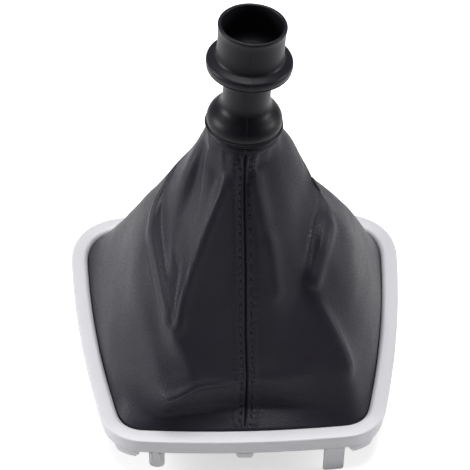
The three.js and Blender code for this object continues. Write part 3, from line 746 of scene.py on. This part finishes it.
def makeTrimFrame():
    vertices, faces = [], []
    for shellVertices, shellFaces in trimShells():
        base = len(vertices)
        vertices.extend(shellVertices)
        faces.extend(tuple(base + k for k in face) for face in shellFaces)
    made = newObject("trim_frame_dressed", np.array(vertices) * mm, faces)
    bevel = made.modifiers.new("edges", "BEVEL")
    bevel.width = trim["edgeBevel"] * mm
    bevel.segments = trim["bevelSegments"]
    bevel.limit_method = "ANGLE"
    bevel.angle_limit = math.radians(trim["bevelAngle"])
    weighted = made.modifiers.new("normals", "WEIGHTED_NORMAL")
    weighted.keep_sharp = True
    return made


trimFrame = makeTrimFrame()
print("frame made")

# Collar's section as (radius, height over its lip)
collarSection = [
    (10.2, -10.5), (12.0, -10.5), (12.15, -10.3), (12.15, -0.15), (12.3, 0), (16.8, 0), (17.7, 0.3),
    (18.05, 0.9), (17.75, 1.45), (17.2, 1.8), (17.1, 2.2), (17.35, 2.9), (17.4, 4.0), (17.15, 5.4),
    (16.5, 7.0), (15.4, 8.6), (14.0, 10.0), (12.6, 11.4), (11.6, 13.0), (11.1, 14.8), (10.95, 16.8),
    (10.9, 22), (10.9, 28.6), (11.15, 30.1), (12.0, 31.25), (13.6, 31.95), (15.6, 32.4), (17.6, 32.85),
    (18.8, 33.3), (19.2, 33.75), (19.05, 34.2), (19.25, 34.7), (19.5, 35.5), (19.55, 36.5),
    (19.4, 37.4), (18.9, 38.1), (18.0, 38.6), (16.9, 39.1), (15.9, 39.7), (15.35, 40.6), (15.15, 42.0),
    (15.2, 54.6), (15.35, 55.2), (15.4, 56.1), (15.15, 56.75), (14.6, 56.9), (14.0, 56.7), (13.75, 56.1),
    (13.65, 50), (13.62, 42.5), (13.3, 40.8), (12.0, 39.2), (9.8, 37.6), (9.4, 36.6), (9.4, 13),
    (9.6, 11.5), (10.2, 9), (10.2, -10.3),
]
# Parting line of the mould at the front and rear, with a fine ridge and one half standing lower
mould = {"ridge": 0.16, "ridgeDegrees": 0.7, "ridgeShare": 0.6, "step": 0.07, "segments": 160, "subdivide": 4}
# Radii and heights that part the collar's outside from its inside, and the throat from the plug
collarSides = {"outside": 10.85, "rim": 14.4, "tubeFoot": 41.5, "bore": 13.8, "throat": 10.5, "tubeFloor": 36}


def isOutside(radius, up):
    return up > 0.2 and radius > collarSides["outside"] and not (
        up > collarSides["tubeFoot"] and radius < collarSides["rim"])


# Inside of the tube and the throat, where the collar's material paints shade
def isShadedBore(radius, up):
    return up > 0 and radius < collarSides["bore"] and (
        radius < collarSides["throat"] or up > collarSides["tubeFloor"])


# Even spline through a closed run of points, gentle where they lie close together
def smoothClosed(points, steps):
    count = len(points)
    run = []
    for i in range(count):
        p0, p1, p2, p3 = [np.array(points[(i + k) % count], float) for k in (-1, 0, 1, 2)]
        d1, d2, d3 = [max(np.linalg.norm(b - a), 1e-6) ** 0.5 for a, b in ((p0, p1), (p1, p2), (p2, p3))]
        m1 = (p2 - p1) / d2 - (p2 - p0) / (d1 + d2) + (p1 - p0) / d1
        m2 = (p3 - p2) / d3 - (p3 - p1) / (d2 + d3) + (p2 - p1) / d2
        for step in range(steps):
            t = step / steps
            run.append((2 * t ** 3 - 3 * t ** 2 + 1) * p1 + (t ** 3 - 2 * t ** 2 + t) * m1 * d2
                       + (-2 * t ** 3 + 3 * t ** 2) * p2 + (t ** 3 - t ** 2) * m2 * d2)
    return run


def partingDistance(degrees):
    turned = (degrees + 180) % 360 - 180
    return min(abs(turned), 180 - abs(turned))


def makeCollar():
    run = smoothClosed(collarSection, mould["subdivide"])
    fine = mould["ridgeDegrees"]
    angles = [center + k * fine for center in (0.0, 180.0) for k in (-1, -0.5, 0, 0.5, 1)]
    even = [360.0 * i / mould["segments"] for i in range(mould["segments"])]
    angles = sorted(set(angles + [a for a in even if partingDistance(a) > fine]))
    vertices, bore = [], []
    for degrees in angles:
        ridge = mould["ridge"] * max(0.0, 1 - partingDistance(degrees) / (fine * mould["ridgeShare"]))
        proud = ridge - (mould["step"] if 0 < degrees % 360 < 180 else 0.0)
        angle = math.radians(degrees)
        for radius, up in run:
            reach = radius + (proud if isOutside(radius, up) else 0.0)
            vertices.append(collarPose @ Vector((math.sin(angle) * reach, -math.cos(angle) * reach, up)))
            bore.append(1.0 if isShadedBore(radius, up) else 0.0)
    faces = []
    count, turns = len(run), len(angles)
    for i in range(turns):
        a, b = i * count, ((i + 1) % turns) * count
        for j in range(count):
            k = (j + 1) % count
            faces.append((a + j, b + j, b + k, a + k))
    made = newObject("collar_dressed", np.array(vertices) * mm, faces)
    # Mask of the bore, with which the collar's material paints shade there
    made.data.attributes.new("bore", "FLOAT", "POINT").data.foreach_set("value", bore)
    return made


neckCollar = makeCollar()
print("collar made")


# Middle, direction and skin normal of every stitch of the front and rear seams
def stitchPlaces():
    places, runs, skins = [], [], []
    near = seamColumns.index(seam["stitchRow"])
    half = seam["stitchLength"] / 2
    lift = leather["thickness"] / 2 + seam["threadRadius"] * seam["threadLift"]
    for middle, normals in ((leftMiddle, leftNormals), (rightMiddle, rightNormals)):
        for edge, column in ((0, near), (-1, middle.shape[1] - 1 - near)):
            points = middle[:, column] + normals[:, column] * lift
            reach = lengthAlong(middle[:, edge])
            for along in np.arange(seam["firstStitch"], reach[-1] - seam["lastStitch"], seam["stitchPitch"]):
                ahead, behind, here = [pointsAt(along + step, reach, points) for step in (half, -half, 0)]
                places.append(here)
                runs.append((ahead - behind) / np.linalg.norm(ahead - behind))
                skins.append(normals[int(np.searchsorted(reach, along)), column])
    return {"place": np.array(places), "run": np.array(runs), "skin": np.array(skins)}


# One stitch along X: a thread that rises out of its hole, lies flat and dives again
thread = {"rings": 15, "sides": 10, "dive": 2.42, "taper": 0.35, "wide": 1.1, "flat": 0.8}


def stitchMesh():
    radius, half = seam["threadRadius"], seam["stitchLength"] / 2
    rings, sides = thread["rings"], thread["sides"]
    vertices, faces = [], []
    for i in range(rings):
        t = i / (rings - 1) * 2 - 1
        sink = -thread["dive"] * radius * abs(t) ** 5
        size = radius * (1 - thread["taper"] * abs(t) ** 4)
        for j in range(sides):
            angle = 2 * math.pi * j / sides
            vertices.append((half * t, size * thread["wide"] * math.cos(angle),
                             sink + size * thread["flat"] * math.sin(angle)))
    for i in range(rings - 1):
        for j in range(sides):
            k = (j + 1) % sides
            faces.append((i * sides + j, (i + 1) * sides + j, (i + 1) * sides + k, i * sides + k))
    faces.append(tuple(range(sides)))
    faces.append(tuple((rings - 1) * sides + j for j in reversed(range(sides))))
    return newObject("stitch_shape", np.array(vertices) * mm, faces)


# Linear colour of a six-digit sRGB hex text
def toLinear(hexColor):
    channels = [int(hexColor[k:k + 2], 16) / 255 for k in (0, 2, 4)]
    linear = [c / 12.92 if c <= 0.04045 else ((c + 0.055) / 1.055) ** 2.4 for c in channels]
    return (*linear, 1.0)


# Inputs by number, or by name among those in use; a node or an output is linked, and a hex
# text is set as a colour
def setInputs(tree, node, values):
    for name, value in values.items():
        entry = node.inputs[name] if isinstance(name, int) else next(
            s for s in node.inputs if s.name == name and s.enabled)
        if isinstance(value, bpy.types.Node):
            value = next(s for s in value.outputs if s.enabled)
        if isinstance(value, bpy.types.NodeSocket):
            tree.links.new(value, entry)
        else:
            entry.default_value = toLinear(value) if entry.type == "RGBA" else value


def addNode(tree, kind, values, **settings):
    node = tree.nodes.new(kind)
    for name, value in settings.items():
        setattr(node, name, value)
    setInputs(tree, node, values)
    return node


# One stitch on each point, turned by the row's direction and the skin's normal there
def stitchTree():
    tree = bpy.data.node_groups.new("stitch_rows", "GeometryNodeTree")
    for name, kind in (("Geometry", "Geometry"), ("Stitch", "Object"), ("Thread", "Material")):
        tree.interface.new_socket(name, in_out="INPUT", socket_type="NodeSocket" + kind)
    tree.interface.new_socket("Geometry", in_out="OUTPUT", socket_type="NodeSocketGeometry")
    given = addNode(tree, "NodeGroupInput", {}).outputs
    shape = addNode(tree, "GeometryNodeObjectInfo", {"Object": given["Stitch"]}).outputs["Geometry"]
    run, skin = [addNode(tree, "GeometryNodeInputNamedAttribute", {"Name": name}, data_type="FLOAT_VECTOR")
                 for name in ("run", "skin")]
    turn = addNode(tree, "FunctionNodeAxesToRotation", {"Primary Axis": run, "Secondary Axis": skin},
                   primary_axis="X", secondary_axis="Z")
    rows = addNode(tree, "GeometryNodeInstanceOnPoints",
                   {"Points": given["Geometry"], "Instance": shape, "Rotation": turn})
    real = addNode(tree, "GeometryNodeRealizeInstances", {"Geometry": rows})
    dressed = addNode(tree, "GeometryNodeSetMaterial", {"Geometry": real, "Material": given["Thread"]})
    addNode(tree, "NodeGroupOutput", {"Geometry": dressed})
    return tree


def makeStitches(threadMaterial):
    rows = stitchPlaces()
    base = newObject("stitches", rows["place"] * mm, [])
    for name in ("run", "skin"):
        layer = base.data.attributes.new(name, "FLOAT_VECTOR", "POINT")
        layer.data.foreach_set("vector", np.asarray(rows[name], np.float32).ravel())
    stitch = stitchMesh()
    modifier = base.modifiers.new("rows", "NODES")
    modifier.node_group = stitchTree()
    entries = {item.name: item.identifier for item in modifier.node_group.interface.items_tree
               if item.in_out == "INPUT"}
    modifier[entries["Stitch"]] = stitch
    modifier[entries["Thread"]] = threadMaterial
    bpy.context.view_layer.update()
    evaluated = base.evaluated_get(bpy.context.evaluated_depsgraph_get())
    made = bpy.data.meshes.new_from_object(evaluated)
    base.modifiers.clear()
    base.data = made
    for polygon in made.polygons:
        polygon.use_smooth = True
    bpy.data.objects.remove(stitch)
    return base


def newMaterial(name, finish):
    made = bpy.data.materials.new(name)
    made.use_nodes = True
    made.diffuse_color = toLinear(finish["color"])
    tree = made.node_tree
    shader = tree.nodes["Principled BSDF"]
    setInputs(tree, shader, {
        "Base Color": finish["color"], "Roughness": finish["roughness"],
        "Metallic": finish.get("metallic", 0.0), "Specular IOR Level": finish["specular"]})
    return made, tree, shader, addNode(tree, "ShaderNodeTexCoord", {}).outputs["Object"]


# The fine relief and the shift between two near colours that every finish of the part has
def dressShader(tree, shader, finish, height, factor):
    relief = addNode(tree, "ShaderNodeBump", {
        "Strength": finish["bump"], "Distance": finish["bumpHeight"] * mm, "Height": height})
    color = addNode(tree, "ShaderNodeMix", {"Factor": factor, "A": finish["low"], "B": finish["high"]},
                    data_type="RGBA")
    setInputs(tree, shader, {"Normal": relief, "Base Color": color})
    return color


# Texture scale for a pattern of a size in millimetres, in object coordinates of metres
def perMillimetre(size):
    return 1 / (size * mm)


# Black PU leather, a film pressed with a pebble grain: near black, with a soft broad sheen that
# the grain breaks up. The pebble is coarser than the real one, so that it shows.
leatherFinish = {
    "color": "25232b",
    "low": "211f26",
    "high": "282630",
    "roughness": 0.5,
    "creaseRoughness": 0.56,
    "pebbleRoughness": 0.45,
    "specular": 0.24,
    "pebble": 1.3,
    "pebbleSlope": 0.28,
    "bendSize": 3.0,
    "bend": 0.6,
    "fine": 0.35,
    "fineShare": 0.25,
    "patches": 18.0,
    "patchShare": 0.6,
    "bump": 0.38,
    "bumpHeight": 0.14,
}


def leatherMaterial():
    finish = leatherFinish
    made, tree, shader, place = newMaterial("black_pu_leather", finish)
    warp = addNode(tree, "ShaderNodeTexNoise",
                   {"Vector": place, "Scale": perMillimetre(finish["bendSize"]), "Detail": 2.0})
    shifted = addNode(tree, "ShaderNodeVectorMath", {0: warp.outputs["Color"], 1: (finish["bend"] * mm,) * 3},
                      operation="MULTIPLY")
    bent = addNode(tree, "ShaderNodeVectorMath", {0: place, 1: shifted}, operation="ADD")
    pebble = addNode(tree, "ShaderNodeTexVoronoi", {"Vector": bent, "Scale": perMillimetre(finish["pebble"])},
                     feature="DISTANCE_TO_EDGE")
    fine = addNode(tree, "ShaderNodeTexNoise",
                   {"Vector": place, "Scale": perMillimetre(finish["fine"]), "Detail": 3.0})
    patches = addNode(tree, "ShaderNodeTexNoise",
                      {"Vector": place, "Scale": perMillimetre(finish["patches"]), "Detail": 3.0})
    grain = addNode(tree, "ShaderNodeMapRange", {"Value": pebble, "From Max": finish["pebbleSlope"]},
                    interpolation_type="SMOOTHSTEP")
    height = addNode(tree, "ShaderNodeMath", {0: fine, 1: finish["fineShare"], 2: grain},
                     operation="MULTIPLY_ADD")
    shade = addNode(tree, "ShaderNodeMath", {0: patches, 1: finish["patchShare"]}, operation="MULTIPLY")
    dressShader(tree, shader, finish, height, shade)
    roughness = addNode(tree, "ShaderNodeMapRange", {
        "Value": grain, "To Min": finish["creaseRoughness"], "To Max": finish["pebbleRoughness"]})
    setInputs(tree, shader, {"Roughness": roughness})
    return made


# Bonded polyester thread: dull black, with the twist of its strands. The twist is coarser than
# the real one, so that it shows.
threadFinish = {"color": "222125", "low": "1c1b1f", "high": "2b2a2f", "roughness": 0.6, "specular": 0.4,
                "twist": 1.6, "uneven": 1.5, "bump": 0.5, "bumpHeight": 0.08}


def threadMaterial():
    finish = threadFinish
    made, tree, shader, place = newMaterial("black_polyester_thread", finish)
    twist = addNode(tree, "ShaderNodeTexWave", {
        "Vector": place, "Scale": perMillimetre(finish["twist"]), "Distortion": finish["uneven"]},
        bands_direction="DIAGONAL").outputs["Fac"]
    dressShader(tree, shader, finish, twist, twist)
    return made


# Satin silver paint on an ABS moulding: pale and even, with broad dull highlights and a faint
# metal flake. The flake is coarser than the real one, so that it shows.
silverFinish = {"color": "c9c9cb", "low": "c2c2c5", "high": "cbcbce", "roughness": 0.5, "smoothest": 0.44,
                "roughest": 0.56, "metallic": 0.12, "specular": 0.25, "flake": 0.22, "peel": 1.3,
                "bump": 0.12, "bumpHeight": 0.03}


def silverMaterial():
    finish = silverFinish
    made, tree, shader, place = newMaterial("satin_silver_paint", finish)
    flake = addNode(tree, "ShaderNodeTexVoronoi", {"Vector": place, "Scale": perMillimetre(finish["flake"])})
    peel = addNode(tree, "ShaderNodeTexNoise",
                   {"Vector": place, "Scale": perMillimetre(finish["peel"]), "Detail": 4.0})
    dressShader(tree, shader, finish, peel, flake.outputs["Color"])
    roughness = addNode(tree, "ShaderNodeMapRange", {
        "Value": peel, "To Min": finish["smoothest"], "To Max": finish["roughest"]})
    setInputs(tree, shader, {"Roughness": roughness})
    return made


# Black ABS from a satin mould: near black, with a narrow soft sheen and faint flow marks.
# The bore has painted shade: there a bore colour and a weaker sheen stand in for the little light that comes
# out of it.
# The bore colour and the bore's specular level are painted shade for the inside of the tube
collarFinish = {"color": "151419", "low": "131117", "high": "18171e", "bore": "16151a", "roughness": 0.44,
                "smoothest": 0.38, "roughest": 0.48, "specular": 0.2, "boreShadeSpecular": 0.12,
                "flow": 9.0, "fine": 0.5, "bump": 0.15, "bumpHeight": 0.03}


def collarMaterial():
    finish = collarFinish
    made, tree, shader, place = newMaterial("satin_black_abs", finish)
    flow = addNode(tree, "ShaderNodeTexNoise",
                   {"Vector": place, "Scale": perMillimetre(finish["flow"]), "Detail": 5.0})
    fine = addNode(tree, "ShaderNodeTexNoise",
                   {"Vector": place, "Scale": perMillimetre(finish["fine"]), "Detail": 2.0})
    # Painted shade in the bore: the mask mixes in the bore colour and lowers the sheen
    bore = addNode(tree, "ShaderNodeAttribute", {}, attribute_name="bore").outputs["Fac"]
    outside = dressShader(tree, shader, finish, fine, flow)
    color = addNode(tree, "ShaderNodeMix", {"Factor": bore, "A": outside, "B": finish["bore"]},
                    data_type="RGBA")
    roughness = addNode(tree, "ShaderNodeMapRange", {
        "Value": flow, "To Min": finish["smoothest"], "To Max": finish["roughest"]})
    specular = addNode(tree, "ShaderNodeMapRange", {
        "Value": bore, "To Min": finish["specular"], "To Max": finish["boreShadeSpecular"]})
    setInputs(tree, shader, {
        "Base Color": color, "Roughness": roughness, "Specular IOR Level": specular})
    return made


# Plain black polypropylene moulding of the hidden ring and band: dark grey, waxy and dull
innerFinish = {"color": "222224", "low": "1e1e20", "high": "28282a", "roughness": 0.55, "specular": 0.4,
               "fine": 0.8, "bump": 0.3, "bumpHeight": 0.05}


def innerPlasticMaterial():
    finish = innerFinish
    made, tree, shader, place = newMaterial("black_polypropylene", finish)
    fine = addNode(tree, "ShaderNodeTexNoise",
                   {"Vector": place, "Scale": perMillimetre(finish["fine"]), "Detail": 3.0})
    dressShader(tree, shader, finish, fine, fine)
    return made


def dress(piece, made):
    piece.data.materials.clear()
    piece.data.materials.append(made)


blackLeather = leatherMaterial()
for panel in (leftPanel, rightPanel):
    dress(panel, blackLeather)
dress(trimFrame, silverMaterial())
dress(neckCollar, collarMaterial())
innerPlastic = innerPlasticMaterial()
for node in ("hem_ring", "neck_tie_band"):
    dress(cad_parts[node], innerPlastic)
stitches = makeStitches(threadMaterial())
print("stitches made", len(stitches.data.polygons))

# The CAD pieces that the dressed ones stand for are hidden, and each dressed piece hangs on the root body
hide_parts("gaiter_left_panel")
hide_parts("gaiter_right_panel")
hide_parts("trim_frame")
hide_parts("neck_collar")
for piece, slotName in ((leftPanel, "leather"), (rightPanel, "leather"), (trimFrame, "silver_paint"),
                        (neckCollar, "collar_plastic"), (stitches, "leather")):
    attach(piece, "root")

# Camera of the photograph, fitted to the frame's outline: angles in degrees, lens and sensor
# in millimetres
camera = {
    "elevation": 46.3,
    "azimuth": -3.4,
    "roll": 1.35,
    "distance": 950.0,
    "lens": 153.1915,
    "sensor": 36.0,
    "targetRight": -2.8,
    "targetUp": 63.4,
}


def makeCamera():
    elevation, azimuth, roll = [math.radians(camera[k]) for k in ("elevation", "azimuth", "roll")]
    away = Vector((math.sin(azimuth) * math.cos(elevation), -math.cos(azimuth) * math.cos(elevation),
                   math.sin(elevation)))
    target = Vector((camera["targetRight"], middleBack, crestUp + camera["targetUp"]))
    right = (-away).cross(Vector((0, 0, 1))).normalized()
    up = right.cross(-away)
    turnedRight = math.cos(roll) * right + math.sin(roll) * up
    turnedUp = -math.sin(roll) * right + math.cos(roll) * up
    axes = Matrix((turnedRight, turnedUp, away)).transposed().to_4x4()
    data = bpy.data.cameras.new("photo_camera")
    data.lens = camera["lens"]
    data.sensor_width = camera["sensor"]
    made = bpy.data.objects.new("photo_camera", data)
    made.matrix_world = Matrix.Translation((target + away * camera["distance"]) * mm) @ axes
    bpy.context.collection.objects.link(made)
    bpy.context.scene.camera = made


makeCamera()

# Studio, in metres: soft lamps, and a floor and a world that the camera sees as white. Shiny
# surfaces mirror a world that is dark in front and pale behind, and a floor that is white out
# to full from a point behind the middle, and grey from fade on.
lamps = [
    {"name": "top_lamp", "place": (0.0, 0.2, 1.25), "size": 0.8, "power": 14.5},
    {"name": "left_lamp", "place": (-1.05, 0.0, 0.46), "size": 0.35, "power": 8.5},
    {"name": "right_lamp", "place": (1.05, 0.0, 0.46), "size": 0.35, "power": 5.5},
]
lampTarget = (0, 0, 0.09)
around = {"seen": "ffffff", "light": "5e5e62", "pale": "88888c", "dark": "1e1e20", "from": -0.7, "to": 0.0}
floorFinish = {"color": "dcdcdc", "seen": "f2f2f2", "glow": 0.62, "roughness": 0.9, "specular": 0.1,
               "size": 3, "back": 0.1, "full": 0.2, "fade": 0.38}


def makeLamps():
    for lamp in lamps:
        data = bpy.data.lights.new(lamp["name"], "AREA")
        data.shape = "DISK"
        data.size = lamp["size"]
        data.energy = lamp["power"]
        made = bpy.data.objects.new(lamp["name"], data)
        made.location = lamp["place"]
        toTarget = Vector(lampTarget) - Vector(lamp["place"])
        made.rotation_euler = toTarget.to_track_quat("-Z", "Y").to_euler()
        bpy.context.collection.objects.link(made)


# 1 for rays from the camera, and 1 for those that a mirror or glass sends on
def rayKinds(tree):
    path = addNode(tree, "ShaderNodeLightPath", {}).outputs
    mirrored = addNode(tree, "ShaderNodeMath", {0: path["Is Glossy Ray"], 1: path["Is Transmission Ray"]},
                       operation="MAXIMUM")
    return path["Is Camera Ray"], mirrored


def makeWorld():
    world = bpy.data.worlds.new("studio")
    world.use_nodes = True
    tree = world.node_tree
    direction = addNode(tree, "ShaderNodeTexCoord", {}).outputs["Generated"]
    back = addNode(tree, "ShaderNodeSeparateXYZ", {"Vector": direction}).outputs["Y"]
    bright = addNode(tree, "ShaderNodeMapRange", {
        "Value": back, "From Min": around["from"], "From Max": around["to"]}, interpolation_type="SMOOTHSTEP")
    fromCamera, fromMirror = rayKinds(tree)
    mirrored = addNode(tree, "ShaderNodeMix", {"Factor": bright, "A": around["dark"], "B": around["pale"]},
                       data_type="RGBA")
    unseen = addNode(tree, "ShaderNodeMix", {"Factor": fromMirror, "A": around["light"], "B": mirrored},
                     data_type="RGBA")
    color = addNode(tree, "ShaderNodeMix", {"Factor": fromCamera, "A": unseen, "B": around["seen"]},
                    data_type="RGBA")
    setInputs(tree, tree.nodes["Background"], {"Color": color, "Strength": 1.0})
    bpy.context.scene.world = world


# White where it is seen, and grey for the light that it throws back up
def makeFloor():
    finish, half = floorFinish, floorFinish["size"]
    corners = [(-half, -half, 0), (half, -half, 0), (half, half, 0), (-half, half, 0)]
    floor = newObject("floor", corners, [(0, 1, 2, 3)], smooth=False)
    made, tree, shader, place = newMaterial("white_floor", finish)
    fromMiddle = addNode(tree, "ShaderNodeVectorMath", {0: place, 1: (0, finish["back"], 0)},
                         operation="DISTANCE")
    near = addNode(tree, "ShaderNodeMapRange", {
        "Value": fromMiddle, "From Min": finish["fade"], "From Max": finish["full"]},
        interpolation_type="SMOOTHSTEP")
    fromCamera, fromMirror = rayKinds(tree)
    mirrored = addNode(tree, "ShaderNodeMath", {0: fromMirror, 1: near}, operation="MULTIPLY")
    seen = addNode(tree, "ShaderNodeMath", {0: fromCamera, 1: mirrored}, operation="MAXIMUM")
    color = addNode(tree, "ShaderNodeMix", {"Factor": seen, "A": finish["color"], "B": finish["seen"]},
                    data_type="RGBA")
    glow = addNode(tree, "ShaderNodeMath", {0: seen, 1: finish["glow"]}, operation="MULTIPLY")
    setInputs(tree, shader, {"Base Color": color, "Emission Color": "ffffff", "Emission Strength": glow})
    dress(floor, made)


makeLamps()
makeWorld()
makeFloor()
bpy.context.scene.view_settings.view_transform = "Standard"
print("camera and studio made")
